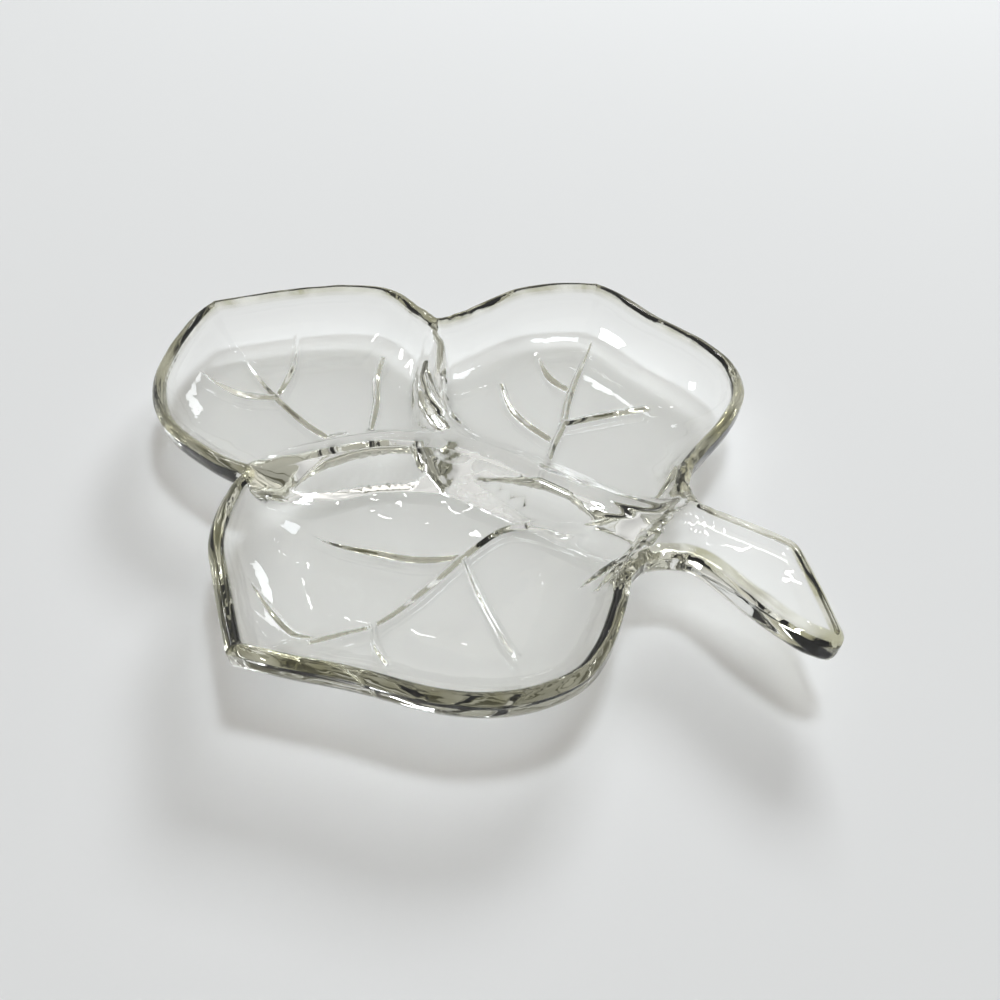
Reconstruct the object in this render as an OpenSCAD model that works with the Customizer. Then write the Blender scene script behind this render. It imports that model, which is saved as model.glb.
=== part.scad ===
// Leaf relish tray: one pressing of clear glass with three leaf dishes, the dividers between them and a twig
// handle. The pressing is drawn as its moulded zones, which meet face to face on upright cuts. All of them are
// cut from the same two surfaces: face_z, the upper side of the glass, and under_z, its underside. The tray
// stands on the flat underside of its dishes.
// X runs along the stem, from the leaf tip to the handle. The origin is on the table, under the middle.

/* [Leaves] */
// Length of the leaves, from the leaf tip to the root of the handle
leaf_l = 205; // [185:1:230]
// Width over the two side leaves
leaf_w = 206; // [185:1:230]
// Depth of a dish below the rim
dish_depth = 17.5; // [14:0.5:22]
// Thickness of the glass under a dish
floor_t = 5; // [4:0.5:7]
// Width of the rounded rim
lip_w = 4; // [3:0.25:5]
// Drop of the rim's rounded edges
lip_round = 1.8; // [1:0.1:2]
// Height of the rim's upright outer edge, from its top to where the wall turns under
edge_h = 6; // [3:0.5:7]
// Run of a dish's inner wall, from the rim to the floor
wall_run = 27; // [22:1:30]
// Run of the outer wall, from the rim to the flat underside
under_run = 27; // [22:1:29]

/* [Dividers] */
// Drop of the divider crests below the rim
crest_drop = 6; // [3:0.5:9]
// Width of a divider's rounded crest
crest_w = 8; // [6:0.5:10]
// Run of a divider's side, from the crest to the floor
divider_run = 12; // [9:1:14]
// Thickness of the glass at a divider's crest
divider_t = 6.5; // [5:0.5:8]
// Width of the pocket under a divider
pocket_w = 11; // [8:0.5:14]

/* [Handle] */
// Length of the handle beyond its root
handle_l = 54; // [42:1:66]
// Width of the handle
handle_w = 26; // [22:1:30]
// Thickness of the handle
handle_t = 8.5; // [6:0.5:11]

/* [Veins] */
// Width of a raised leaf vein
vein_w = 3; // [2.4:0.2:4]
// Height of a vein above the dish floor
vein_h = 1.2; // [0.6:0.1:1.6]

/* [Hidden] */
glass = [0.80, 0.83, 0.80, 0.6];
vein_glass = [0.72, 0.76, 0.72, 0.6];

rim_h = floor_t + dish_depth;
wall_power_share = 0.6;    // how full the wall's curve is: a half gives an ellipse
side_power_share = 1.15;   // how full a divider's side is: one gives a straight slope
blend = lip_round;         // how softly one surface runs into the next

// Outlines of the leaves, as shares of leaf_l along X and leaf_w along Y, seen from the hub
tip_near_shares = [[-0.2, -0.26], [-0.273, -0.265], [-0.395, -0.245], [-0.49, -0.182], [-0.551, -0.092],
                   [-0.588, 0], [-0.594, 0.054]];
tip_far_shares = [[-0.594, 0.054], [-0.568, 0.087], [-0.498, 0.165], [-0.415, 0.235], [-0.327, 0.271],
                  [-0.239, 0.25], [-0.19, 0.235]];
far_tipward_shares = [[-0.19, 0.235], [-0.176, 0.255], [-0.15, 0.319], [-0.122, 0.396], [-0.074, 0.449],
                      [-0.03, 0.482], [0.01, 0.501]];
far_stemward_shares = [[0.01, 0.501], [0.075, 0.49], [0.162, 0.455], [0.257, 0.43], [0.331, 0.39],
                       [0.376, 0.323], [0.384, 0.239], [0.374, 0.148], [0.371, 0.107], [0.38, 0.068]];
near_tipward_shares = [[-0.2, -0.26], [-0.196, -0.29], [-0.176, -0.336], [-0.142, -0.384], [-0.084, -0.43],
                       [-0.023, -0.475], [0.01, -0.498]];
near_stemward_shares = [[0.01, -0.498], [0.081, -0.476], [0.161, -0.448], [0.268, -0.417], [0.346, -0.371],
                        [0.395, -0.309], [0.405, -0.251], [0.394, -0.18], [0.38, -0.13], [0.385, -0.097]];
// Crests of the dividers, from the notch in the rim to the hub
near_crest_shares = [[-0.2, -0.26], [-0.195, -0.214], [-0.176, -0.16], [-0.141, -0.109], [-0.098, -0.066],
                     [-0.044, -0.032], [0.01, -0.005]];
far_crest_shares = [[-0.19, 0.235], [-0.182, 0.208], [-0.16, 0.166], [-0.131, 0.115], [-0.09, 0.069],
                    [-0.038, 0.029], [0.01, -0.005]];
stem_crest_shares = [[0.01, -0.005], [0.098, 0], [0.205, 0.002], [0.302, -0.005], [0.383, -0.014]];
// Handle: its far side, oblique end and near side, as shares of handle_l from the root and of handle_w
handle_far_shares = [[0.074, 0.396], [0.178, 0.32], [0.42, 0.323], [0.61, 0.31], [0.687, 0.208]];
handle_end_shares = [[0.687, 0.208], [0.837, -0.18], [0.96, -0.52], [1, -0.66], [0.99, -0.8], [0.933, -0.85]];
handle_near_shares = [[0.065, -0.665], [0.148, -0.554], [0.222, -0.508], [0.319, -0.542], [0.45, -0.638],
                      [0.589, -0.735], [0.72, -0.808], [0.844, -0.858], [0.933, -0.85]];
// Veins of each leaf, from the stem outwards
tip_vein_shares = [
    [[-0.16, -0.075], [-0.26, -0.065], [-0.364, -0.036], [-0.453, -0.002], [-0.52, 0.03]],
    [[-0.367, -0.038], [-0.428, -0.065], [-0.499, -0.077]],
    [[-0.371, -0.023], [-0.396, 0.033], [-0.444, 0.107]],
    [[-0.15, -0.04], [-0.2, 0.045], [-0.246, 0.105], [-0.268, 0.15]]];
near_vein_shares = [
    [[0.293, -0.039], [0.234, -0.056], [0.189, -0.069], [0.154, -0.1], [0.134, -0.171], [0.123, -0.24],
     [0.101, -0.328], [0.074, -0.369], [0.051, -0.407]],
    [[0.134, -0.171], [0.083, -0.209], [0.025, -0.231], [-0.036, -0.25], [-0.086, -0.257]],
    [[0.141, -0.175], [0.192, -0.215], [0.249, -0.253], [0.287, -0.277]],
    [[0.1, -0.338], [0.127, -0.365], [0.161, -0.383]],
    [[0.052, -0.398], [0.02, -0.408], [-0.023, -0.4], [-0.071, -0.386]]];
far_vein_shares = [
    [[0.143, 0.067], [0.129, 0.113], [0.117, 0.17], [0.093, 0.234], [0.072, 0.309], [0.052, 0.4]],
    [[0.114, 0.125], [0.069, 0.137], [0.018, 0.161], [-0.033, 0.212]],
    [[0.073, 0.263], [0.031, 0.277], [-0.01, 0.315]],
    [[0.116, 0.172], [0.162, 0.224], [0.221, 0.286]]];

// Rows of points from the rim inwards: the rim's as shares of lip_w, then the floor's, then those up a
// divider's side as shares of divider_run, counted back from its top
lip_row_shares = [0, 0.12, 0.45, 0.8, 1, 1.15, 1.6, 2.4];
floor_row_shares = [0.1, 0.24, 0.42, 0.68, 1];
side_row_shares = [0.72, 0.655, 0.42, 0.18, 0];
end_run_share = 3.5;       // run of a dish's end along its divider, in rim widths
notch_share = 0.8;         // half of a divider's width at its notch, in rim widths
// Points across a divider and along its side
across_shares = [0, 0.14, 0.27, 0.39, 0.5, 0.61, 0.73, 0.86, 1];
divider_steps = 26;
rim_steps = [22, 30];      // along a leaf's rim: from a notch to the leaf tip, and from there to the stem
spline_steps = 6;

function lerp(a, b, t) = a + (b - a) * t;
function clamp01(t) = min(1, max(0, t));
function bell(t) = t >= 1 ? 0 : (1 + cos(180 * t)) / 2;
// The higher of two heights above a floor, with a rounded crease where they are nearly alike
function merged(a, b) = let(soft = min(blend, min(a, b)), h = max(soft - abs(a - b), 0))
    max(a, b) + (soft > 0 ? h * h / (4 * soft) : 0);
function unit(v) = v / norm(v);
function reverse(list) = [for (i = [len(list) - 1 : -1 : 0]) list[i]];
function on_leaf(shares) = [for (s = shares) [s.x * leaf_l, s.y * leaf_w]];

// Curve through points, each stretch bent by its neighbours
function bend_at(a, b, c, d, t) =
    (2 * b + (c - a) * t + (2 * a - 5 * b + 4 * c - d) * t * t + (3 * b - a - 3 * c + d) * t * t * t) / 2;
function curve(p, n = spline_steps) = let(last = len(p) - 1) concat(
    [for (i = [0 : last - 1]) for (k = [0 : n - 1])
        bend_at(p[max(i - 1, 0)], p[i], p[i + 1], p[min(i + 2, last)], k / n)],
    [p[last]]);

// Points of a line at given distances along it
function lengths(p, i = 0, done = [0]) =
    i >= len(p) - 1 ? done : lengths(p, i + 1, concat(done, [done[i] + norm(p[i + 1] - p[i])]));
function point_at(p, ls, d, i = 0) = i >= len(p) - 2 || ls[i + 1] >= d
    ? lerp(p[i], p[i + 1], (d - ls[i]) / (ls[i + 1] - ls[i])) : point_at(p, ls, d, i + 1);
function points_at(p, ds) = let(ls = lengths(p)) [for (d = ds) point_at(p, ls, d)];
function length_of(p) = let(ls = lengths(p)) ls[len(ls) - 1];
function even(p, n, start = 0) = let(l = length_of(p)) points_at(p, [for (k = [0 : n]) lerp(start, l, k / n)]);

// Rim of a leaf: two arcs that meet in the leaf tip, each starting a notch_gap from its notch
notch_gap = notch_share * lip_w;
near_notch = on_leaf([tip_near_shares[0]])[0];
far_notch = on_leaf([far_tipward_shares[0]])[0];
function without_first(p) = [for (i = [1 : len(p) - 1]) p[i]];
function join_rims(a, b) = concat(a, without_first(b));
function arc(shares, n, gap) = even(curve(on_leaf(shares)), n, gap);
function arc_back(shares, n, gap) = reverse(even(reverse(curve(on_leaf(shares))), n, gap));
tip_rim = join_rims(arc(tip_near_shares, divider_steps, notch_gap),
                    arc_back(tip_far_shares, divider_steps, notch_gap));
near_rim = join_rims(arc(near_tipward_shares, rim_steps[0], notch_gap),
                     arc(near_stemward_shares, rim_steps[1], 0));
far_rim = join_rims(arc(far_tipward_shares, rim_steps[0], notch_gap),
                    arc(far_stemward_shares, rim_steps[1], 0));

// Handle outline, from the far corner of its root round to the near one
near_corner = near_rim[len(near_rim) - 1];
far_corner = far_rim[len(far_rim) - 1];
function on_handle(shares) = [for (s = shares) [far_corner.x + s.x * handle_l, s.y * handle_w]];
handle_steps = 16;
handle_far = even(curve(concat([far_corner], on_handle(handle_far_shares))), handle_steps);
handle_near = even(curve(concat([near_corner], on_handle(handle_near_shares))), handle_steps);
handle_end_line = curve(on_handle(handle_end_shares));
handle_end = let(l = length_of(handle_end_line)) points_at(handle_end_line, [for (s = across_shares) s * l]);

outline = concat(reverse(tip_rim), [near_notch], near_rim, handle_near, reverse(handle_end),
                 reverse(handle_far), reverse(far_rim), [far_notch]);
mid = [(max([for (p = outline) p.x]) + min([for (p = outline) p.x])) / 2,
       (max([for (p = outline) p.y]) + min([for (p = outline) p.y])) / 2];

// Distance from a point to a line of points, and how far along the line the nearest place lies, 0 to 1
function near_share(q, a, b) = let(d = b - a) d * d == 0 ? 0 : clamp01((q - a) * d / (d * d));
function gap_to(q, a, b) = norm(q - lerp(a, b, near_share(q, a, b)));
function rim_gap(q) = min([for (i = [0 : len(outline) - 1])
    gap_to(q, outline[i], outline[(i + 1) % len(outline)])]);
function nearest(q, line) =
    let(found = [for (i = [0 : len(line) - 2]) [gap_to(q, line[i], line[i + 1]), i]],
        least = min([for (f = found) f[0]]),
        i = [for (f = found) if (f[0] == least) f[1]][0])
    [least, (i + near_share(q, line[i], line[i + 1])) / (len(line) - 1)];

// Crest lines. Along them, 0 to 1: how far each crest has sunk from the rim, how much wider the stem's crest
// gets towards the handle, how far the glass under its end has come level with the handle's underside, and how
// wide the far divider's sides are. That divider is slimmer than the others until it flares at the hub.
crest_steps = 3;
near_crest = curve(on_leaf(near_crest_shares), crest_steps);
far_crest = curve(on_leaf(far_crest_shares), crest_steps);
stem_crest = curve(on_leaf(stem_crest_shares), crest_steps);
hub = on_leaf([stem_crest_shares[0]])[0];
notch_drop_shares = [[0, 0], [0.18, 0.5], [0.4, 0.9], [0.6, 1], [1, 1]];
stem_drop_shares = [[0, 1], [0.55, 1], [0.8, 0.6], [1, 0]];
stem_half_shares = [[0, 1], [0.7, 1], [0.9, 2.2], [1, 4.4]];
neck_shares = [[0.6, 0], [1, 1]];
far_run_shares = [[0, 0.4], [0.65, 0.4], [1, 1]];
far_crest_w_share = 0.7;
function notch_drop(t) = crest_drop * lookup(t, notch_drop_shares);
function stem_drop(t) = crest_drop * lookup(t, stem_drop_shares);
function stem_half(t) = crest_w / 2 * lookup(t, stem_half_shares);

// Pockets under the dividers: each follows a stretch of its crest, with these widths along it, and ends rounded
near_pocket_shares = [[0, 0.1], [0.4, 0.85], [0.7, 1], [1, 1]];
far_pocket_shares = [[0, 0.1], [0.4, 0.55], [0.7, 0.65], [1, 0.65]];
stem_pocket_shares = [[0, 0.1], [0.4, 1], [0.65, 1], [1, 0.1]];
side_pocket_picks = [3 : 14];
stem_pocket_picks = [2 : 9];
near_pocket = [for (k = side_pocket_picks) near_crest[k]];
far_pocket = [for (k = side_pocket_picks) far_crest[k]];
stem_pocket = [for (k = stem_pocket_picks) stem_crest[k]];

// Heights above the table of the two surfaces of the glass
under_depth = dish_depth + floor_t;
function wall_share(x) = pow(1 - pow(1 - clamp01(x), 2), wall_power_share);
function lip_drop(s) = s >= lip_w / 2 ? 0 : lip_round * pow(1 - s / (lip_w / 2), 2);
function wall_drop(s) = s <= lip_w / 2 ? 0
    : s <= lip_w ? lip_round * pow(s / (lip_w / 2) - 1, 2)
    : lip_round + (dish_depth - lip_round) * wall_share((s - lip_w) / wall_run);
function crest_rise(gap, half, drop, run = divider_run) = dish_depth - (gap <= half
    ? drop + lip_round * pow(gap / half, 2)
    : drop + lip_round + (dish_depth - drop - lip_round) * pow(clamp01((gap - half) / run), side_power_share));
function on_stem(q) = q.x > max(far_corner.x, near_corner.x) && abs(q.y) < handle_w;
function face_z(q) =
    let(s = rim_gap(q), a = nearest(q, near_crest), c = nearest(q, far_crest), b = nearest(q, stem_crest),
        sides = merged(crest_rise(a[0], crest_w / 2, notch_drop(a[1])),
                       crest_rise(c[0], far_crest_w_share * crest_w / 2, notch_drop(c[1]),
                                  divider_run * lookup(c[1], far_run_shares))),
        stem = on_stem(q) ? dish_depth : crest_rise(b[0], stem_half(b[1]), stem_drop(b[1])))
    floor_t + min(dish_depth - lip_drop(s), merged(dish_depth - wall_drop(s), merged(sides, stem)));

pocket_power_share = 0.6;  // how full a pocket's round top is
neck_run = 5 / 4 * crest_w;
function outer_rise(s) = (under_depth - edge_h) * (1 - wall_share(s / under_run));
function pocket_rise(q, line, shares, drop) =
    let(found = nearest(q, line), share = lookup(found[1], shares), gap = found[0] / (share * pocket_w / 2))
    gap >= 1 ? 0 : share * (under_depth - drop - divider_t) * pow(1 - gap * gap, pocket_power_share);
function neck_rise(gap, t) = (under_depth - handle_t) * lookup(t, neck_shares)
    * bell(max(0, gap - stem_half(t) + crest_w / 2) / neck_run);
function under_z(q) =
    let(a = nearest(q, near_crest), c = nearest(q, far_crest), b = nearest(q, stem_crest))
    max(outer_rise(rim_gap(q)), pocket_rise(q, near_pocket, near_pocket_shares, notch_drop(a[1])),
        pocket_rise(q, far_pocket, far_pocket_shares, notch_drop(c[1])),
        pocket_rise(q, stem_pocket, stem_pocket_shares, crest_drop),
        on_stem(q) ? under_depth - handle_t : neck_rise(b[0], b[1]));

// Solid between the two surfaces over a net of plan points, net[i][j], with upright sides
module slab(net) {
    n = len(net) - 1;
    m = len(net[0]) - 1;
    count = (n + 1) * (m + 1);
    plan = [for (row = net) for (p = row) p];
    points = concat([for (p = plan) [p.x, p.y, face_z(p)]], [for (p = plan) [p.x, p.y, under_z(p)]]);
    function at(i, j) = i * (m + 1) + j;
    top = [for (i = [0 : n - 1]) for (j = [0 : m - 1])
        for (f = [[at(i, j), at(i, j + 1), at(i + 1, j + 1)], [at(i, j), at(i + 1, j + 1), at(i + 1, j)]]) f];
    bottom = [for (f = top) [count + f[2], count + f[1], count + f[0]]];
    edge = concat([for (i = [0 : n - 1]) at(i, 0)], [for (j = [0 : m - 1]) at(n, j)],
                  [for (i = [n : -1 : 1]) at(i, m)], [for (j = [m : -1 : 1]) at(0, j)]);
    sides = [for (k = [0 : len(edge) - 1]) let(a = edge[k], b = edge[(k + 1) % len(edge)])
        for (f = [[a, b, count + b], [a, count + b, count + a]]) f];
    polyhedron(points, concat(top, bottom, sides), convexity = 8);
}

module placed() translate([-mid.x, -mid.y, 0]) children();

// Net of a dish: columns from the rim to the divider line inside it, closed by the two divider ends
function row_gaps(l) =
    let(lip = [for (s = lip_row_shares) s * lip_w], last = lip[len(lip) - 1],
        side = min(divider_run, (l - last) / 2))
    concat(lip, [for (s = floor_row_shares) lerp(last, l - side, s)], [for (s = side_row_shares) l - s * side]);
rows = len(lip_row_shares) + len(floor_row_shares) + len(side_row_shares) - 1;
end_run = end_run_share * lip_w;
function column(a, b) = let(l = norm(b - a)) [for (g = row_gaps(l)) lerp(a, b, g / l)];
function dish_net(rim, first, inner, last) = let(n = len(rim) - 1)
    [for (i = [0 : n]) i == 0 ? first : i == n ? last : column(rim[i], inner[i])];

// Sides of a divider, from a corner on the rim to a corner of the hub, a crest width to each side of the crest
hub_r_share = 1.25;
hub_r = hub_r_share * crest_w;
hub_tipward = hub + [-hub_r, 0];
hub_near = hub + hub_r * [cos(60), -sin(60)];
hub_far = hub + hub_r * [cos(60), sin(60)];
function side_of(line, k, sign) =
    let(d = unit(line[k + 1] - line[k - 1])) line[k] + sign * crest_w * [-d.y, d.x];
function side_line(corner, line, picks, sign, end) =
    curve(concat([corner], [for (k = picks) side_of(line, k, sign)], [end]));
function side_points(corner, line, picks, sign, end) =
    let(side = side_line(corner, line, picks, sign, end), l = length_of(side),
        onward = [for (k = [1 : divider_steps]) lerp(end_run, l, k / divider_steps)])
    points_at(side, concat(row_gaps(end_run), onward));
side_picks = [6, 10, 14];
stem_picks = [2, 4, 6, 9];
from_stem = reverse(stem_crest);
near_side_of_tip = side_points(tip_rim[0], near_crest, side_picks, 1, hub_tipward);
near_side_of_near = side_points(near_rim[0], near_crest, side_picks, -1, hub_near);
far_side_of_tip = side_points(tip_rim[len(tip_rim) - 1], far_crest, side_picks, -1, hub_tipward);
far_side_of_far = side_points(far_rim[0], far_crest, side_picks, 1, hub_far);
stem_side_of_near = side_points(near_corner, from_stem, stem_picks, 1, hub_near);
stem_side_of_far = side_points(far_corner, from_stem, stem_picks, -1, hub_far);
function first_rows(side) = [for (k = [0 : rows]) side[k]];
function other_rows(side) = [for (k = [rows : len(side) - 1]) side[k]];

// Net of a divider between its two sides; at a notch its end follows the rim through the notch itself
function across(a, b) = [for (s = across_shares) lerp(a, b, s)];
function bent_across(a, b, c) = [for (s = across_shares) s < 1 / 2 ? lerp(a, b, 2 * s) : lerp(b, c, 2 * s - 1)];
function divider_net(a, b) = [for (k = [0 : len(a) - 1]) across(a[k], b[k])];
function notched_net(a, b, notch) = concat([bent_across(a[0], notch, b[0])], without_first(divider_net(a, b)));

// Veins: rounded ribs that rise from the floor of a dish and thin out at their ends
vein_steps = 2;
vein_end_share = 0.5;
module vein_bead(q, share) translate([q.x, q.y, face_z(q)])
    scale([share * vein_w / 2, share * vein_w / 2, share * vein_h]) sphere(1, $fn = 8);
module veins(shares) color(vein_glass) for (vein = shares) {
    line = curve(on_leaf(vein), vein_steps);
    last = len(line) - 1;
    for (k = [0 : last - 1]) hull() {
        vein_bead(line[k], 1);
        vein_bead(line[k + 1], k == last - 1 ? vein_end_share : 1);
    }
}

module tip_leaf_dish() placed() union() {
    color(glass) slab(reverse(dish_net(tip_rim, first_rows(near_side_of_tip),
        concat(other_rows(near_side_of_tip), without_first(reverse(other_rows(far_side_of_tip)))),
        first_rows(far_side_of_tip))));
    veins(tip_vein_shares);
}

module near_leaf_dish() placed() union() {
    color(glass) slab(dish_net(near_rim, first_rows(near_side_of_near),
        concat(other_rows(near_side_of_near), without_first(reverse(other_rows(stem_side_of_near)))),
        first_rows(stem_side_of_near)));
    veins(near_vein_shares);
}

module far_leaf_dish() placed() union() {
    color(glass) slab(reverse(dish_net(far_rim, first_rows(far_side_of_far),
        concat(other_rows(far_side_of_far), without_first(reverse(other_rows(stem_side_of_far)))),
        first_rows(stem_side_of_far))));
    veins(far_vein_shares);
}

module near_divider() color(glass) placed()
    slab(reverse(notched_net(near_side_of_near, near_side_of_tip, near_notch)));

module far_divider() color(glass) placed()
    slab(reverse(notched_net(far_side_of_tip, far_side_of_far, far_notch)));

module stem_divider() color(glass) placed()
    slab(divider_net(other_rows(stem_side_of_far), other_rows(stem_side_of_near)));

module handle_root() color(glass) placed()
    slab(divider_net(first_rows(stem_side_of_far), first_rows(stem_side_of_near)));

// The hub where the three dividers meet: rings of points round its middle
hub_rings = 3;
module divider_hub() {
    round_hub = concat(across(hub_tipward, hub_near), without_first(across(hub_near, hub_far)),
                       without_first(across(hub_far, hub_tipward)));
    n = len(round_hub) - 1;
    plan = concat([for (r = [hub_rings : -1 : 1]) for (k = [0 : n - 1]) lerp(hub, round_hub[k], r / hub_rings)],
                  [hub]);
    count = len(plan);
    function at(r, k) = r * n + k % n;
    top = concat([for (r = [0 : hub_rings - 2]) for (k = [0 : n - 1])
            let(a = at(r, k), b = at(r + 1, k), c = at(r + 1, k + 1), d = at(r, k + 1))
            for (f = [[a, b, c], [a, c, d]]) f],
        [for (k = [0 : n - 1]) [at(hub_rings - 1, k), count - 1, at(hub_rings - 1, k + 1)]]);
    sides = [for (k = [0 : n - 1]) let(a = at(0, k), b = at(0, k + 1))
        for (f = [[a, b, count + b], [a, count + b, count + a]]) f];
    points = concat([for (p = plan) [p.x, p.y, face_z(p)]], [for (p = plan) [p.x, p.y, under_z(p)]]);
    bottom = [for (f = top) [count + f[2], count + f[1], count + f[0]]];
    color(glass) placed() polyhedron(points, concat(top, bottom, sides), convexity = 8);
}

// Net of the handle, filled in from its four sides: root, far side, near side and oblique end
function handle_point(i, j) = let(u = i / handle_steps, v = across_shares[j], n = len(across_shares) - 1)
    lerp(handle_far[i], handle_near[i], v) + lerp(lerp(far_corner, near_corner, v), handle_end[j], u)
    - lerp(lerp(far_corner, near_corner, v), lerp(handle_end[0], handle_end[n], v), u);
module twig_handle() color(glass) placed()
    slab([for (i = [handle_steps : -1 : 0]) [for (j = [0 : len(across_shares) - 1]) handle_point(i, j)]]);

tip_leaf_dish();
near_leaf_dish();
far_leaf_dish();
near_divider();
far_divider();
stem_divider();
divider_hub();
handle_root();
twig_handle();
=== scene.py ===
# Looks of the leaf relish tray: a clear pressed glass tray on a pale table. Metres throughout, in the packed
# model's own frame: X along the stem towards the handle, Z up, the origin on the table under the middle.
import math

import bpy
import numpy as np
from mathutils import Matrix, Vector, geometry


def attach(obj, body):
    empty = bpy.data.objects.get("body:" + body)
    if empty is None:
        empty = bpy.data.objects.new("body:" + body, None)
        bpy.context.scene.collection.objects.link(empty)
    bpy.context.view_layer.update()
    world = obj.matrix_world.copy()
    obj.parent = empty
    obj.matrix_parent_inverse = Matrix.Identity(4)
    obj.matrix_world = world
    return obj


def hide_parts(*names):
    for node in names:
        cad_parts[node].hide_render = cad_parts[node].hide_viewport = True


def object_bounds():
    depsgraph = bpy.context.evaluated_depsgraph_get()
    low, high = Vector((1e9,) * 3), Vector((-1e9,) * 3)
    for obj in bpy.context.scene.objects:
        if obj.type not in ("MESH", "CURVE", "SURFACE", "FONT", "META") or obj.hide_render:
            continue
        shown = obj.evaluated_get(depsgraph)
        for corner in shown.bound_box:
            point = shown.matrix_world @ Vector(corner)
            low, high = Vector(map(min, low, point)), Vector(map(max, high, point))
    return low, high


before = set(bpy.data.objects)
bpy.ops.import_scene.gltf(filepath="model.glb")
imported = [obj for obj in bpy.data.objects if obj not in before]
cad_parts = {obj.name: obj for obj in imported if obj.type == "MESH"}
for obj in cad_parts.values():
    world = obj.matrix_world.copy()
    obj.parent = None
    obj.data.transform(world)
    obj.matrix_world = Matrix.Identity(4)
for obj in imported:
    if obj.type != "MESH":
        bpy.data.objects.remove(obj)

cad_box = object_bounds()

# Outline of the pressing
# The rim of three leaves that grow from one stem, and the twig that is the handle. Each leaf's rim is two
# arcs that meet in a pointed tip. Places are shares of the leaves' length and width, seen from the hub.
leaf_l, leaf_w = 0.205, 0.206
handle_l, handle_w = 0.054, 0.026
middle = np.array([0.00507152, 0.000309])      # of the outline's box, seen from the hub
notch_gap = 0.0032                             # from a notch between two leaves to where their arcs start
rim_pitch = 0.0008                             # from one point of the rim to the next

tip_near = [(-.2, -.26), (-.273, -.265), (-.395, -.245), (-.49, -.182), (-.551, -.092), (-.588, 0),
            (-.594, .054)]
tip_far = [(-.594, .054), (-.568, .087), (-.498, .165), (-.415, .235), (-.327, .271), (-.239, .25),
           (-.19, .235)]
far_tipward = [(-.19, .235), (-.176, .255), (-.15, .319), (-.122, .396), (-.074, .449), (-.03, .482),
               (.01, .501)]
far_stemward = [(.01, .501), (.075, .49), (.162, .455), (.257, .43), (.331, .39), (.376, .323), (.384, .239),
                (.374, .148), (.371, .107), (.38, .068)]
near_tipward = [(-.2, -.26), (-.196, -.29), (-.176, -.336), (-.142, -.384), (-.084, -.43), (-.023, -.475),
                (.01, -.498)]
near_stemward = [(.01, -.498), (.081, -.476), (.161, -.448), (.268, -.417), (.346, -.371), (.395, -.309),
                 (.405, -.251), (.394, -.18), (.38, -.13), (.385, -.097)]
twig_far = [(.074, .396), (.178, .32), (.42, .323), (.61, .31), (.687, .208)]
twig_end = [(.687, .208), (.837, -.18), (.96, -.52), (1, -.66), (.99, -.8), (.933, -.85)]
twig_near = [(.065, -.665), (.148, -.554), (.222, -.508), (.319, -.542), (.45, -.638), (.589, -.735),
             (.72, -.808), (.844, -.858), (.933, -.85)]


def on_leaf(shares):
    return np.array(shares) * [leaf_l, leaf_w]


far_neck, near_neck = on_leaf(far_stemward)[-1], on_leaf(near_stemward)[-1]      # where leaf and handle meet


def on_twig(shares):
    return [far_neck[0], 0] + np.array(shares) * [handle_l, handle_w]


def spline(points, steps=6):
    """A smooth curve through points, each stretch bent by its neighbours."""
    p = np.asarray(points, float)
    last = len(p) - 1
    out = []
    for i in range(last):
        a, b, c, d = p[max(i - 1, 0)], p[i], p[i + 1], p[min(i + 2, last)]
        for t in np.arange(steps) / steps:
            out.append((2 * b + (c - a) * t + (2 * a - 5 * b + 4 * c - d) * t**2
                        + (3 * b - a - 3 * c + d) * t**3) / 2)
    return np.array(out + [p[last]])


def spaced(line, pitch, start=0.0):
    """Points at an even pitch along a line, from a given distance to its end."""
    far = np.r_[0, np.cumsum(np.linalg.norm(np.diff(line, axis=0), axis=1))]
    at = np.linspace(start, far[-1], max(2, round((far[-1] - start) / pitch) + 1))
    return np.c_[np.interp(at, far, line[:, 0]), np.interp(at, far, line[:, 1])]


def leaf_arc(shares, start=0.0):
    return spaced(spline(on_leaf(shares)), rim_pitch, start)


def rim_line():
    """The closed outline, counter-clockwise, from the tip leaf's point past the near leaf and the handle."""
    points = np.vstack([
        leaf_arc(tip_near, notch_gap)[::-1], on_leaf([tip_near[0]]),
        leaf_arc(near_tipward, notch_gap), leaf_arc(near_stemward),
        spaced(spline(np.vstack([near_neck, on_twig(twig_near)])), rim_pitch),
        spaced(spline(on_twig(twig_end)), rim_pitch)[::-1],
        spaced(spline(np.vstack([far_neck, on_twig(twig_far)])), rim_pitch)[::-1],
        leaf_arc(far_stemward)[::-1], leaf_arc(far_tipward, notch_gap)[::-1], on_leaf([far_tipward[0]]),
        spaced(spline(on_leaf(tip_far))[::-1], rim_pitch, notch_gap),
    ])
    step = np.linalg.norm(points - np.roll(points, 1, 0), axis=1)
    return points[step > rim_pitch / 4]


def filled(points):
    """The same closed line with points added on its long straight stretches."""
    out = []
    for a, b in zip(points, np.roll(points, -1, 0)):
        steps = max(1, round(np.linalg.norm(b - a) / rim_pitch))
        out += [a + (b - a) * k / steps for k in range(steps)]
    return np.array(out)


rim = filled(rim_line())

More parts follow.
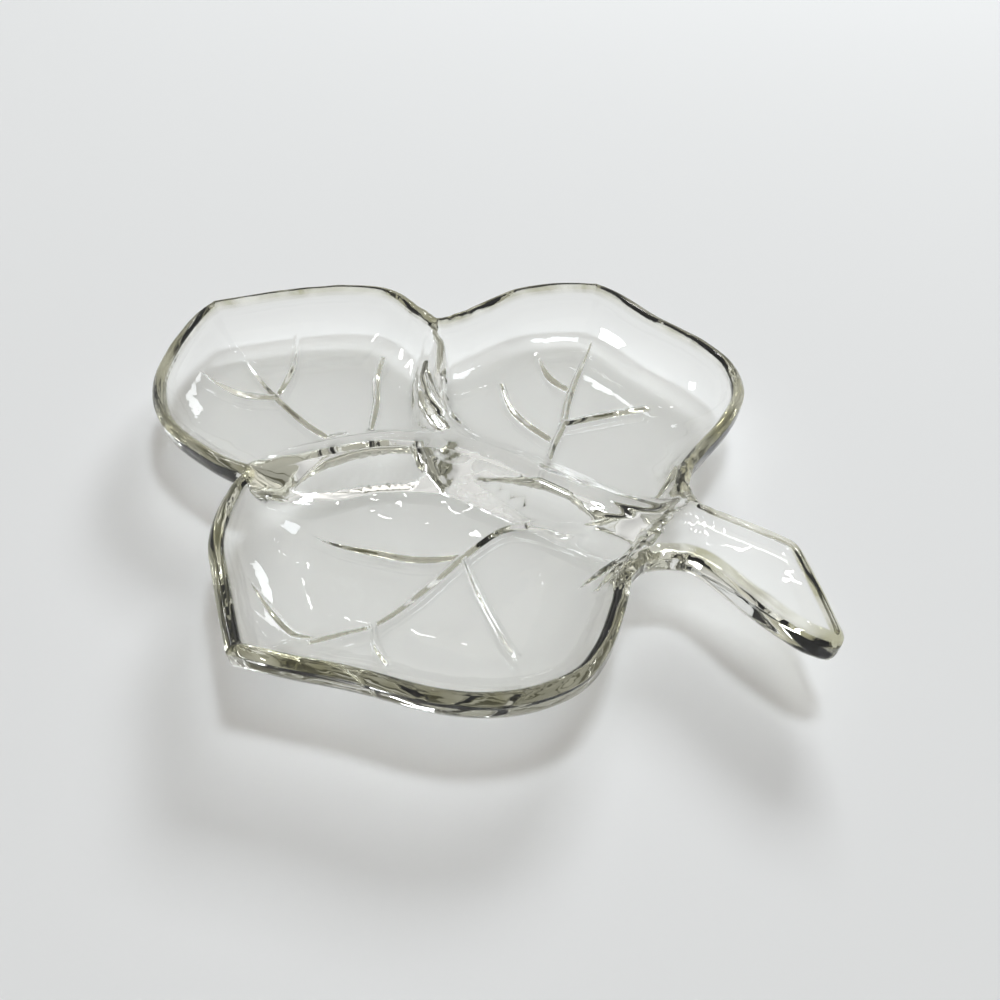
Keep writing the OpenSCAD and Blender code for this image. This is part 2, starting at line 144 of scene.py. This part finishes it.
# Faces of the glass
# Two heights over every place of the outline: the upper face, with its rounded rim, curved walls, flat dish
# floors and low dividers, and the underside, which turns under from the rim and is hollow beneath the
# dividers. The lengths are in metres, and the powers and shares have no unit.
rim_h, dish_depth, floor_t = 0.0225, 0.0175, 0.005
lip_w, lip_round, edge_h = 0.004, 0.0018, 0.006
wall_run, under_run, wall_power = 0.027, 0.027, 0.6          # how far in the walls reach, above and below
crest_drop, crest_w, divider_run = 0.006, 0.008, 0.012       # crests below the rim, and width of each side
divider_t, pocket_w, handle_t = 0.0065, 0.011, 0.0085        # glass over the pockets, and their width
pocket_power, side_power = 0.6, 1.15                         # how full a pocket is, how straight a side
neck_run, crease_round = 0.01, lip_round

near_crest = spline(on_leaf([(-.2, -.26), (-.195, -.214), (-.176, -.16), (-.141, -.109), (-.098, -.066),
                             (-.044, -.032), (.01, -.005)]))
far_crest = spline(on_leaf([(-.19, .235), (-.182, .208), (-.16, .166), (-.131, .115), (-.09, .069),
                            (-.038, .029), (.01, -.005)]))
stem_crest = spline(on_leaf([(.01, -.005), (.098, 0), (.205, .002), (.302, -.005), (.383, -.014)]))
crests = [near_crest, far_crest, stem_crest]
stem_root = max(far_neck[0], near_neck[0])

# Tables along a crest, from its notch or for the stem's from the hub: shares of its length, then values there
even = [0, 1], [1, 1]
notch_drop = [0, .18, .4, .6, 1], [0, .5, .9, 1, 1]          # share of crest_drop
stem_drop = [0, .55, .8, 1], [1, 1, .6, 0]
slim = [0, 1], [.7, .7]                                      # share of crest_w
stem_wide = [0, .7, .9, 1], [1, 1, 2.2, 4.4]
far_flare = [0, .65, 1], [.4, .4, 1]                         # share of divider_run
neck_share = [0, .6, 1], [0, 0, 1]                           # how level the underside is with the handle's
near_pocket = [0, .4, .7, 1], [.1, .85, 1, 1]                # share of pocket_w
far_pocket = [0, .4, .7, 1], [.1, .55, .65, .65]
stem_pocket = [0, .4, .65, 1], [.1, 1, 1, .1]
pockets = [   # the crest above, where along it the pocket starts and ends, its width, and the crest's drop
    (near_crest, 1 / 6, 7 / 9, near_pocket, notch_drop),
    (far_crest, 1 / 6, 7 / 9, far_pocket, notch_drop),
    (stem_crest, 1 / 6, 3 / 4, stem_pocket, even),
]


def gap_to(line, points, closed=False):
    """Distance from each point to a line, and how far along it the nearest place lies, 0 to 1."""
    a = line if closed else line[:-1]
    run = (np.roll(line, -1, 0) if closed else line[1:]) - a
    best, along = np.full(len(points), np.inf), np.zeros(len(points))
    for i, (start, r) in enumerate(zip(a, run)):
        t = np.clip((points - start) @ r / (r @ r), 0, 1)
        gap = np.hypot(*(points - start - t[:, None] * r).T)
        nearer = gap < best
        best[nearer] = gap[nearer]
        along[nearer] = (i + t[nearer]) / len(a)
    return best, along


def rim_gap(points):
    return gap_to(rim, points, closed=True)[0]


def on_handle(points):
    return (points[:, 0] > stem_root) & (abs(points[:, 1]) < handle_w)


def merged(a, b):
    """The higher of two heights above a floor, with a rounded crease where they are nearly alike."""
    soft = np.maximum(np.minimum(crease_round, np.minimum(a, b)), 1e-9)
    h = np.maximum(soft - abs(a - b), 0)
    return np.maximum(a, b) + h * h / (4 * soft)


def wall_share(x):
    return (1 - (1 - np.clip(x, 0, 1))**2)**wall_power


def along_table(table, t):
    return np.interp(t, *table)


def divider(line, drop, wide, flare, points):
    """Height of one divider above the dish floors: a rounded crest and two plain sloping sides."""
    gap, t = gap_to(line, points)
    half, side = crest_w / 2 * along_table(wide, t), along_table(flare, t) * divider_run
    crest_d = crest_drop * along_table(drop, t)
    edge_d = crest_d + lip_round
    slope = np.clip((gap - half) / side, 0, 1)**side_power
    return dish_depth - np.where(gap <= half, crest_d + lip_round * (gap / half)**2,
                                 edge_d + (dish_depth - edge_d) * slope)


def face_z(q):
    """Height of the upper face over plan points."""
    s = rim_gap(q)
    half = lip_w / 2
    lip = np.where(s < half, lip_round * (1 - s / half)**2, 0)
    wall = np.where(s <= half, 0, np.where(
        s <= lip_w, lip_round * (s / half - 1)**2,
        lip_round + (dish_depth - lip_round) * wall_share((s - lip_w) / wall_run)))
    sides = merged(divider(near_crest, notch_drop, even, even, q),
                   divider(far_crest, notch_drop, slim, far_flare, q))
    stem = np.where(on_handle(q), dish_depth, divider(stem_crest, stem_drop, stem_wide, even, q))
    return floor_t + np.minimum(dish_depth - lip, merged(dish_depth - wall, merged(sides, stem)))


def stretch(line, first, last):
    """Part of a line, between two shares of its number of points."""
    return line[round(first * (len(line) - 1)):round(last * (len(line) - 1)) + 1]


def under_z(q):
    """Height of the underside over plan points."""
    rise = (rim_h - edge_h) * (1 - wall_share(rim_gap(q) / under_run))
    for crest, first, last, wide, drop in pockets:
        gap, t = gap_to(stretch(crest, first, last), q)
        share = along_table(wide, t)
        top = rim_h - divider_t - crest_drop * along_table(drop, gap_to(crest, q)[1])
        across = np.minimum(gap / (share * pocket_w / 2), 1)
        rise = np.maximum(rise, share * top * (1 - across**2)**pocket_power)
    gap, t = gap_to(stem_crest, q)
    beyond = np.maximum(0, gap - crest_w / 2 * (along_table(stem_wide, t) - 1)) / neck_run
    neck = along_table(neck_share, t) * (1 + np.cos(np.pi * np.minimum(beyond, 1))) / 2
    neck = np.where(on_handle(q), 1, neck)
    return np.maximum(rise, (rim_h - handle_t) * neck)


# Mesh of the pressing
# One closed skin: the same outline carries a fine net of triangles above and a coarser one below, with rows
# of points that follow the rim, the crests and the veins.
vein_w, vein_h = 0.0032, 0.0021
veins = [   # places along each vein, then how thin its two ends are
    ([(-.16, -.075), (-.26, -.065), (-.364, -.036), (-.453, -.002), (-.52, .03)], .6, .15),    # tip leaf
    ([(-.367, -.038), (-.428, -.065), (-.499, -.077)], .7, .15),
    ([(-.371, -.023), (-.396, .033), (-.444, .107)], .7, .8),
    ([(-.15, -.04), (-.2, .045), (-.246, .105), (-.268, .15)], .5, .9),
    ([(.293, -.039), (.234, -.056), (.189, -.069), (.154, -.1), (.134, -.171), (.123, -.24), (.101, -.328),
      (.074, -.369), (.051, -.407)], .3, .7),                                                  # near leaf
    ([(.134, -.171), (.083, -.209), (.025, -.231), (-.036, -.25), (-.086, -.257)], .8, .15),
    ([(.141, -.175), (.192, -.215), (.249, -.253), (.287, -.277)], .7, 1),
    ([(.1, -.338), (.127, -.365), (.161, -.383)], .7, .8),
    ([(.052, -.398), (.02, -.408), (-.023, -.4), (-.071, -.386)], .7, .12),
    ([(.143, .067), (.129, .113), (.117, .17), (.093, .234), (.072, .309), (.052, .4)], .9, .6),   # far leaf
    ([(.114, .125), (.069, .137), (.018, .161), (-.033, .212)], .8, .7),
    ([(.073, .263), (.031, .277), (-.01, .315)], .8, .5),
    ([(.116, .172), (.162, .224), (.221, .286)], .8, .9),
    ([(.316, -.14), (.336, -.1), (.36, -.062)], .2, .6),               # small ridges and a crease at the neck
    ([(.34, -.145), (.35, -.115), (.36, -.09)], .2, .6),
    ([(.338, .05), (.342, .085), (.338, .13)], .4, .1),
]
vein_lines = [spline(on_leaf(places)) for places, _, _ in veins]

# Rows of points, at millimetres from the rim, the crests and the veins
top_rows = [.1, .35, .7, 1.1, 1.6, 2, 2.4, 2.9, 3.4, 3.75, 4, 4.04, 4.12, 4.3, 4.6, 5.1, 5.8, 6.7, 7.8]
crest_rows = [0, .45, .9, 1.35, 1.8, 2.25, 2.7, 3.15, 3.55, 3.85, 4, 4.05, 4.2, 4.5, 5, 5.7, 6.6, 7.7, 9,
              10.5, 12, 13.5, 14.8, 15.6, 15.92, 16.08, 16.3]
vein_rows = [0, .2, .4, .6, .8, 1, 1.2, 1.4, 1.6, 1.9]
under_rows = [.04, .12, .3, .6, 1, 1.6, 2.4, 3.4, 4.7, 6.2, 8]
crest_pitch, vein_pitch = 0.001, 0.0008              # along those rows
top_pitch, under_pitch = 0.00105, 0.0013             # of the even nets between the rows
top_keep, under_keep = 0.0084, 0.0088                # from the rim to the nets
crest_keep, vein_keep = 0.0166, 0.0022               # from a crest or a vein to the upper net
crest_rim_keep, vein_rim_keep = 0.0082, 0.003        # from the rim to the rows along crests and veins
row_vein_keep = 0.0021                               # from a vein to any other row
kept_share = 0.985                                   # of its distance that a row inside the rim keeps
least_gap = 0.00012                                  # between two points of the upper face


def inside(points):
    x, y = points.T
    hit = np.zeros(len(points), bool)
    for (ax, ay), (bx, by) in zip(rim, np.roll(rim, -1, 0)):
        if ay != by:
            hit ^= ((ay > y) != (by > y)) & (x < (bx - ax) * (y - ay) / (by - ay) + ax)
    return hit


def well_inside(points, keep):
    return inside(points) & (rim_gap(points) > keep)


def nearest_gap(lines, points):
    return np.min([gap_to(line, points)[0] for line in lines], axis=0)


def units(v):
    return v / np.linalg.norm(v, axis=1)[:, None]


def leftward(v):
    return np.c_[-v[:, 1], v[:, 0]]


def beside(line, rows, pitch):
    """Rows of points along a line, at millimetres to both sides of it."""
    p = spaced(line, pitch)
    side = units(leftward(np.gradient(p, axis=0)))
    offsets = np.array(rows) / 1000
    return np.vstack([p + side * o for o in sorted({*offsets, *-offsets})])


def inward_rows(rows):
    """Rows of points inside the rim, without those that a corner has pushed too near another side."""
    a, b = leftward(units(np.roll(rim, -1, 0) - rim)), leftward(units(rim - np.roll(rim, 1, 0)))
    mitre = (a + b) / (1 + (a * b).sum(1))[:, None]
    out = []
    for s in np.array(rows) / 1000:
        p = rim + mitre * s
        out.append(p[rim_gap(p) > s * kept_share])
    return np.vstack(out)


def even_net(pitch, keep):
    """An even net of points over the whole outline, off its rim."""
    low, high = rim.min(0), rim.max(0)
    out = []
    for k, y in enumerate(np.arange(low[1], high[1], pitch * math.sqrt(3) / 2)):
        x = np.arange(low[0], high[0], pitch) + pitch / 2 * (k % 2)
        out.append(np.c_[x, np.full(len(x), y)])
    points = np.vstack(out)
    return points[well_inside(points, keep)]


def apart(points):
    """Points without those that share a small cell with an earlier one."""
    _, first = np.unique(np.floor(points / least_gap).astype(int), axis=0, return_index=True)
    return points[np.sort(first)]


def skin(inner, height):
    """Triangles over the outline and its inner points: places, faces and where the outline's points went."""
    plan = np.vstack([rim, inner])
    loop = [(i, (i + 1) % len(rim)) for i in range(len(rim))]
    v, _, f, origin, _, _ = geometry.delaunay_2d_cdt([Vector(p) for p in plan.tolist()], loop, [], 1, 1e-7)
    q = np.array([tuple(p) for p in v])
    place = {o: k for k, group in enumerate(origin) for o in group if o < len(rim)}
    return np.c_[q - middle, height(q)], [tuple(t) for t in f], [place[i] for i in range(len(rim))]


crest_points = []
for k, line in enumerate(crests):
    p = beside(line, crest_rows, crest_pitch)
    gaps = [gap_to(other, p)[0] for other in crests]
    crest_points.append(p[gaps[k] <= np.min(gaps, axis=0) + 1e-6])
crest_points = np.vstack(crest_points)
crest_points = crest_points[well_inside(crest_points, crest_rim_keep)
                            & (nearest_gap(vein_lines, crest_points) > row_vein_keep)]
vein_points = np.vstack([beside(line, vein_rows, vein_pitch) for line in vein_lines])
vein_points = vein_points[well_inside(vein_points, vein_rim_keep)]
rim_points = inward_rows(top_rows)
rim_points = rim_points[nearest_gap(vein_lines, rim_points) > row_vein_keep]
net = even_net(top_pitch, top_keep)
net = net[(nearest_gap(vein_lines, net) > vein_keep) & (nearest_gap(crests, net) > crest_keep)]

face_points = np.vstack([rim_points, apart(np.vstack([vein_points, crest_points, net]))])
under_points = np.vstack([inward_rows(under_rows), even_net(under_pitch, under_keep)])

top, top_faces, top_rim = skin(face_points, face_z)
low, low_faces, low_rim = skin(under_points, under_z)
top_gap = rim_gap(top[:, :2] + middle)

# Unevenness of the pressing
# A pressing is never quite even: long shallow waves all over its upper face, streaks along the rim and the
# dividers where the glass flowed, and crumpled spots where the rim turns sharply into the neck.
wave_deep, wave_long = 0.00012, 0.011
streak_deep, streak_wide = 0.00016, 0.0022
streak_run, streak_fade = 9, 0.002                   # how many times longer than wide, and where they die out
past_lip, past_side = 0.002, 0.003                   # how far they reach beyond the lip and a divider's side
crumple_deep, crumple_long, crumple_run = 0.0011, 0.0038, 0.019
crumple_rim, crumple_fade = 0.006, 0.003             # how far in from the rim's edge, and where they die out
chance = np.random.default_rng(7)
plan = top[:, :2]


def waves(q, length, count=7):
    """Sum of crossing waves about a given length, from 0 to 1."""
    turns, shifts = chance.uniform(0, 2 * np.pi, (2, count))
    rates = 2 * np.pi / (length * chance.uniform(0.7, 1.4, count))
    total = 0
    for rate, turn, shift in zip(rates, turns, shifts):
        total = total + np.sin(rate * (q[:, 0] * np.cos(turn) + q[:, 1] * np.sin(turn)) + shift)
    return np.clip(0.5 + total / count, 0, 1)


def streak(line, reach, wide, deep, closed=False):
    """Long streaks along a line, pressed into the upper face."""
    span = np.linalg.norm(np.diff(line, axis=0), axis=1).sum()
    gap, t = gap_to(line, plan + middle, closed=closed)
    fade = np.clip((reach - gap) / streak_fade, 0, 1)
    top[:, 2] -= deep * fade * waves(np.c_[t * span / streak_run, gap], wide)


top[:, 2] -= wave_deep * waves(plan, wave_long)
streak(rim, lip_w + past_lip, streak_wide, streak_deep, closed=True)
for line in crests:
    streak(line, divider_run + past_side, 2 * streak_wide, 2 * streak_deep)
for corner in (near_neck - middle, far_neck - middle):
    close = np.clip(1 - np.hypot(*(plan - corner).T) / crumple_run, 0, 1)
    on_rim = np.clip((crumple_rim - top_gap) / crumple_fade, 0, 1)
    top[:, 2] -= crumple_deep * close * on_rim * waves(plan, crumple_long)

# Upright edge of the rim
# The pressing's outer edge stands upright all round, 6 mm high. A few rows of points along it close the skin
# between the upper face and the underside. Each point of the mesh carries its share of the rim's colour,
# which is the glass's own olive tint together with painted shade.
edge_steps = 6
# The rim's colour here means its olive tint and painted shade together
olive_shade_past, olive_shade_fade = 0.0004, 0.0006              # how far the tint reaches past the lip, and its fading
top_n, rim_n = len(top), len(rim)
first_ring = top_n + len(low)
upper, lower = top[top_rim], low[low_rim]
rings = [upper + (lower - upper) * k / edge_steps for k in range(1, edge_steps)]
levels = [top_rim] + [[first_ring + k * rim_n + i for i in range(rim_n)] for k in range(edge_steps - 1)]
levels += [[top_n + i for i in low_rim]]
faces = top_faces + [(top_n + c, top_n + b, top_n + a) for a, b, c in low_faces]
for above, below in zip(levels, levels[1:]):
    for i in range(rim_n):
        j = (i + 1) % rim_n
        faces += [(above[i], below[i], above[j]), (above[j], below[i], below[j])]
mesh = bpy.data.meshes.new("relish_tray")
mesh.from_pydata(np.vstack([top, low] + rings).tolist(), [], faces)
others = np.zeros(len(low) + len(rings) * rim_n)
# Mask of the rim's olive tint and painted shade: 1 on the rim, fading to 0 just past the lip
rim_share = np.clip((lip_w + olive_shade_past - top_gap) / olive_shade_fade, 0, 1)
for name, values in ("upper", np.ones(top_n)), ("rim_share", rim_share):
    mesh.attributes.new(name, "FLOAT", "POINT").data.foreach_set("value", np.r_[values, others])
mesh.polygons.foreach_set("use_smooth", [True] * len(mesh.polygons))
tray = bpy.data.objects.new("relish_tray", mesh)
bpy.context.collection.objects.link(tray)
print("tray", len(mesh.vertices), "points", len(mesh.polygons), "triangles")

# Clear glass
# Soda-lime glass pressed in one mould: nearly colourless through a dish, and fire-polished but never quite
# even, so it bends what lies behind it a little. Along the rim its colour is painted olive with darker
# streaks. This is partly the glass's own olive tint and partly painted shade for the dark that the rim shows
# where one looks through it lengthwise.
# The two ends of the rim's streaks: the deep olive is painted shade, the pale olive is the glass's own tint
olive_painted_shade, olive_pale = (0.36, 0.34, 0.18, 1), (0.97, 0.96, 0.85, 1)
glass = bpy.data.materials.new("clear_glass")
glass.use_nodes = True
nodes, links = glass.node_tree.nodes, glass.node_tree.links
body = nodes["Principled BSDF"]
body.inputs["Roughness"].default_value = 0.0
body.inputs["IOR"].default_value = 1.5
body.inputs["Transmission Weight"].default_value = 1.0
body.inputs["Metallic"].default_value = 0.0

# The rim's colour, by the mask that each point carries: streaky noise between the two olives, whose darker
# parts are painted shade, and near white elsewhere
along = nodes.new("ShaderNodeAttribute")
along.attribute_name = "rim_share"
place = nodes.new("ShaderNodeTexCoord")
streaks = nodes.new("ShaderNodeTexNoise")
streaks.inputs["Scale"].default_value = 45
streaks.inputs["Detail"].default_value = 3
streaks.inputs["Distortion"].default_value = 1.2
links.new(place.outputs["Object"], streaks.inputs["Vector"])
olive = nodes.new("ShaderNodeValToRGB")
olive.color_ramp.elements[0].position, olive.color_ramp.elements[0].color = 0.35, olive_painted_shade
olive.color_ramp.elements[1].position, olive.color_ramp.elements[1].color = 0.66, olive_pale
links.new(streaks.outputs["Fac"], olive.inputs["Fac"])
colour = nodes.new("ShaderNodeMix")
colour.data_type = "RGBA"
colour.inputs["A"].default_value = (1.0, 1.0, 0.99, 1)
links.new(along.outputs["Fac"], colour.inputs["Factor"])
links.new(olive.outputs["Color"], colour.inputs["B"])
links.new(colour.outputs["Result"], body.inputs["Base Color"])

ripple = nodes.new("ShaderNodeTexNoise")
ripple.inputs["Scale"].default_value = 90
ripple.inputs["Detail"].default_value = 2
links.new(place.outputs["Object"], ripple.inputs["Vector"])
uneven = nodes.new("ShaderNodeBump")
uneven.inputs["Strength"].default_value = 1.0
uneven.inputs["Distance"].default_value = 0.00012
links.new(ripple.outputs["Fac"], uneven.inputs["Height"])
links.new(uneven.outputs["Normal"], body.inputs["Normal"])

# Light that has turned many times inside the glass comes out in the end, a little darker and more olive
most_turns = 5.5
depth = nodes.new("ShaderNodeLightPath")
trapped = nodes.new("ShaderNodeMath")
trapped.operation = "GREATER_THAN"
trapped.inputs[1].default_value = most_turns
links.new(depth.outputs["Ray Depth"], trapped.inputs[0])
way_out = nodes.new("ShaderNodeBsdfTransparent")
way_out.inputs["Color"].default_value = (0.54, 0.535, 0.46, 1)
choice = nodes.new("ShaderNodeMixShader")
links.new(trapped.outputs[0], choice.inputs["Fac"])
links.new(body.outputs["BSDF"], choice.inputs[1])
links.new(way_out.outputs["BSDF"], choice.inputs[2])
links.new(choice.outputs["Shader"], nodes["Material Output"].inputs["Surface"])
soak = nodes.new("ShaderNodeVolumeAbsorption")
soak.inputs["Color"].default_value = (0.80, 0.80, 0.72, 1)
soak.inputs["Density"].default_value = 5
links.new(soak.outputs["Volume"], nodes["Material Output"].inputs["Volume"])

# Veins
# Ribs that stand up from the dish floors, cut into the mould as grooves. They follow the vein lines, thin out
# towards most ends, and are part of the same skin.
guide_pitch = 0.0005
first_taper, last_taper = 0.3, 0.45            # shares of a vein's length over which its ends thin out
least_taper = 0.05
runs, ends, taper = [], [], []
for line, (_, first, last) in zip(vein_lines, veins):
    p = spaced(line, guide_pitch) - middle
    share = np.linspace(0, 1, len(p))
    fade = np.minimum(first + (1 - first) * share / first_taper, last + (1 - last) * (1 - share) / last_taper)
    ends += [(len(runs) + k, len(runs) + k + 1) for k in range(len(p) - 1)]
    runs += [(x, y, 0) for x, y in p]
    taper += np.clip(fade, least_taper, 1).tolist()
vein_mesh = bpy.data.meshes.new("vein_lines")
vein_mesh.from_pydata(runs, ends, [])
vein_mesh.attributes.new("taper", "FLOAT", "POINT").data.foreach_set("value", taper)
vein_guide = bpy.data.objects.new("vein_lines", vein_mesh)
bpy.context.collection.objects.link(vein_guide)

tree = bpy.data.node_groups.new("raised_veins", "GeometryNodeTree")
sockets = {}
for name, way, kind in [("Geometry", "INPUT", "Geometry"), ("Vein lines", "INPUT", "Object"),
                        ("Vein width", "INPUT", "Float"), ("Vein height", "INPUT", "Float"),
                        ("Glass", "INPUT", "Material"), ("Geometry", "OUTPUT", "Geometry")]:
    socket = tree.interface.new_socket(name, in_out=way, socket_type=f"NodeSocket{kind}")
    if way == "INPUT":
        sockets[name] = socket.identifier
new, join = tree.nodes.new, tree.links.new
given, result = new("NodeGroupInput"), new("NodeGroupOutput")
lines = new("GeometryNodeObjectInfo")
join(given.outputs["Vein lines"], lines.inputs["Object"])


def worked_out(what, a, b=None):
    """A sum of the vein tree on sockets or numbers."""
    node = new("ShaderNodeMath")
    node.operation = what
    for socket, value in zip(node.inputs, (a, b)):
        if isinstance(value, (int, float)):
            socket.default_value = value
        elif value is not None:
            join(value, socket)
    return node.outputs[0]


def times(a, b):
    return worked_out("MULTIPLY", a, b)


def stored(name):
    """A number that the mesh carries at each point."""
    node = new("GeometryNodeInputNamedAttribute")
    node.data_type = "FLOAT"
    node.inputs["Name"].default_value = name
    return node.outputs["Attribute"]


at, parts, flat = new("GeometryNodeInputPosition"), new("ShaderNodeSeparateXYZ"), new("ShaderNodeCombineXYZ")
join(at.outputs[0], parts.inputs[0])
join(parts.outputs["X"], flat.inputs["X"])
join(parts.outputs["Y"], flat.inputs["Y"])
near = new("GeometryNodeProximity")
near.target_element = "EDGES"
join(lines.outputs["Geometry"], near.inputs["Geometry"])
join(flat.outputs[0], near.inputs["Sample Position"])
which, thin = new("GeometryNodeSampleNearest"), new("GeometryNodeSampleIndex")
join(lines.outputs["Geometry"], which.inputs["Geometry"])
join(flat.outputs[0], which.inputs["Sample Position"])
join(lines.outputs["Geometry"], thin.inputs["Geometry"])
join(stored("taper"), thin.inputs["Value"])
join(which.outputs["Index"], thin.inputs["Index"])
half = times(times(given.outputs["Vein width"], 0.5), thin.outputs["Value"])
across = worked_out("MINIMUM", worked_out("DIVIDE", near.outputs["Distance"], half), 1.0)
round_top = times(worked_out("ADD", worked_out("COSINE", times(across, math.pi)), 1.0), 0.5)
rise = times(times(round_top, given.outputs["Vein height"]), thin.outputs["Value"])
lift, move = new("ShaderNodeCombineXYZ"), new("GeometryNodeSetPosition")
join(times(rise, stored("upper")), lift.inputs["Z"])
join(given.outputs["Geometry"], move.inputs["Geometry"])
join(lift.outputs[0], move.inputs["Offset"])
real, coat = new("GeometryNodeRealizeInstances"), new("GeometryNodeSetMaterial")
join(move.outputs[0], real.inputs[0])
join(real.outputs[0], coat.inputs["Geometry"])
join(given.outputs["Glass"], coat.inputs["Material"])
join(coat.outputs[0], result.inputs["Geometry"])

ribs = tray.modifiers.new("raised_veins", "NODES")
ribs.node_group = tree
for name, value in (("Vein lines", vein_guide), ("Vein width", vein_w),
                    ("Vein height", vein_h), ("Glass", glass)):
    ribs[sockets[name]] = value
bpy.context.view_layer.update()
done = bpy.data.meshes.new_from_object(tray.evaluated_get(bpy.context.evaluated_depsgraph_get()))
tray.modifiers.remove(ribs)
tray.data = done
done.name = "relish_tray"
bpy.data.objects.remove(vein_guide)

# No wave or vein reaches past the construction's box
low_corner, high_corner = [np.array(c) for c in cad_box]
points = np.empty(len(done.vertices) * 3)
done.vertices.foreach_get("co", points)
points = np.clip(points.reshape(-1, 3), low_corner, high_corner)
done.vertices.foreach_set("co", points.ravel())
done.update()

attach(tray, "root")
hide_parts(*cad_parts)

# Table
# The plain pale table top that the tray stands on. It fills the view and lies a tenth of a millimetre under
# the tray, so that the two faces don't show through each other.
table_half, table_z = 4, -0.0001
table_mesh = bpy.data.meshes.new("table")
corners = [(x * table_half, y * table_half, table_z) for x, y in ((-1, -1), (1, -1), (1, 1), (-1, 1))]
table_mesh.from_pydata(corners, [], [(0, 1, 2, 3)])
table = bpy.data.objects.new("table", table_mesh)
bpy.context.collection.objects.link(table)
paint = bpy.data.materials.new("pale_table")
paint.use_nodes = True
matt = paint.node_tree.nodes["Principled BSDF"]
matt.inputs["Base Color"].default_value = (0.80, 0.80, 0.795, 1)
matt.inputs["Roughness"].default_value = 0.7
matt.inputs["Specular IOR Level"].default_value = 0.2
table_mesh.materials.append(paint)

# Light
# A distant soft lamp behind the tray and a smaller one high above it throw its shadow towards the camera,
# and a faint broad one fills in. A window and a row of small ceiling lamps only show as white reflections in
# the glass.


def lamp(name, at, size, watts, colour=(1, 1, 1)):
    """A flat lamp that faces the middle of the tray."""
    data = bpy.data.lights.new(name, "AREA")
    data.shape, data.size, data.size_y = "RECTANGLE", *size
    data.energy, data.color = watts, colour
    fixture = bpy.data.objects.new(name, data)
    fixture.location = at
    fixture.rotation_euler = (-Vector(at)).to_track_quat("-Z", "Y").to_euler()
    bpy.context.collection.objects.link(fixture)
    return fixture


for name, at, size, watts, colour in (
        ("back_lamp", (-0.85, 4.3, 2.3), (2.0, 1.0), 165, (0.92, 0.96, 1.0)),
        ("high_lamp", (-0.15, 1.21, 2.74), (0.6, 0.4), 34, (0.86, 0.93, 1.0)),
        ("top_lamp", (0.1, 0.3, 2.2), (2.2, 2.2), 6, (1.0, 0.94, 0.86))):
    lamp(name, at, size, watts, colour).visible_glossy = False

glints = [lamp("window_lamp", (-0.96, 0.084, 1.15), (0.3, 0.2), 3)]
glint_far = 1.6
for k, turn in enumerate((84, 91, 97, 103, 118, 127, 136)):
    high, away = math.radians(46 + k % 2), math.radians(turn)
    across, up = glint_far * math.cos(high), glint_far * math.sin(high)
    at = (across * math.cos(away), across * math.sin(away), up)
    glints.append(lamp("ceiling_lamp_%d" % k, at, (0.05, 0.015), 0.06))
for glint in glints:
    glint.visible_diffuse = glint.visible_transmission = False

# Room
# The pale studio around the table, as the glass mirrors and bends it: bright low walls, a duller band above
# them and a pale ceiling. It lights the table itself only faintly and a little warm, which keeps the tray's
# shadow.
room_tones = (0.0, 0.95), (0.12, 0.9), (0.35, 0.5), (0.75, 0.8)      # height, 1 straight up, and tone there
seen_strength, light_strength = 1.0, 0.30
room = bpy.data.worlds.new("pale_room")
bpy.context.scene.world = room
room.use_nodes = True
nodes, links = room.node_tree.nodes, room.node_tree.links
coords, height = nodes.new("ShaderNodeTexCoord"), nodes.new("ShaderNodeSeparateXYZ")
walls, rays = nodes.new("ShaderNodeValToRGB"), nodes.new("ShaderNodeLightPath")
links.new(coords.outputs["Generated"], height.inputs[0])
links.new(height.outputs["Z"], walls.inputs["Fac"])
stops = walls.color_ramp.elements
stops.remove(stops[-1])
for place, _ in room_tones[1:]:
    stops.new(place)
for stop, (_, tone) in zip(stops, room_tones):
    stop.color = (tone, tone, tone * 0.98, 1)
warm = nodes.new("ShaderNodeMix")
warm.data_type, warm.blend_type = "RGBA", "MULTIPLY"
warm.inputs["B"].default_value = (1.0, 0.92, 0.83, 1)
links.new(rays.outputs["Is Diffuse Ray"], warm.inputs["Factor"])
links.new(walls.outputs["Color"], warm.inputs["A"])
links.new(warm.outputs["Result"], nodes["Background"].inputs["Color"])
strength = nodes.new("ShaderNodeMapRange")
strength.inputs["To Min"].default_value = seen_strength
strength.inputs["To Max"].default_value = light_strength
links.new(rays.outputs["Is Diffuse Ray"], strength.inputs["Value"])
links.new(strength.outputs["Result"], nodes["Background"].inputs["Strength"])

# Camera
# Where the photograph was taken from: just over the near leaf, looking down at 46 degrees across the tray,
# with a wide lens.
view = bpy.data.cameras.new("camera")
view.lens, view.sensor_width = 27.12, 36
view.clip_start = 0.01
camera = bpy.data.objects.new("camera", view)
camera.location = (0.10873, -0.15421, 0.18225)
pitch = math.radians(46.12)
ahead = Vector((-0.5246 * math.cos(pitch), 0.8514 * math.cos(pitch), -math.sin(pitch)))
camera.rotation_euler = ahead.to_track_quat("-Z", "Y").to_euler()
bpy.context.collection.objects.link(camera)
bpy.context.scene.camera = camera

bpy.context.scene.view_settings.view_transform = "Standard"
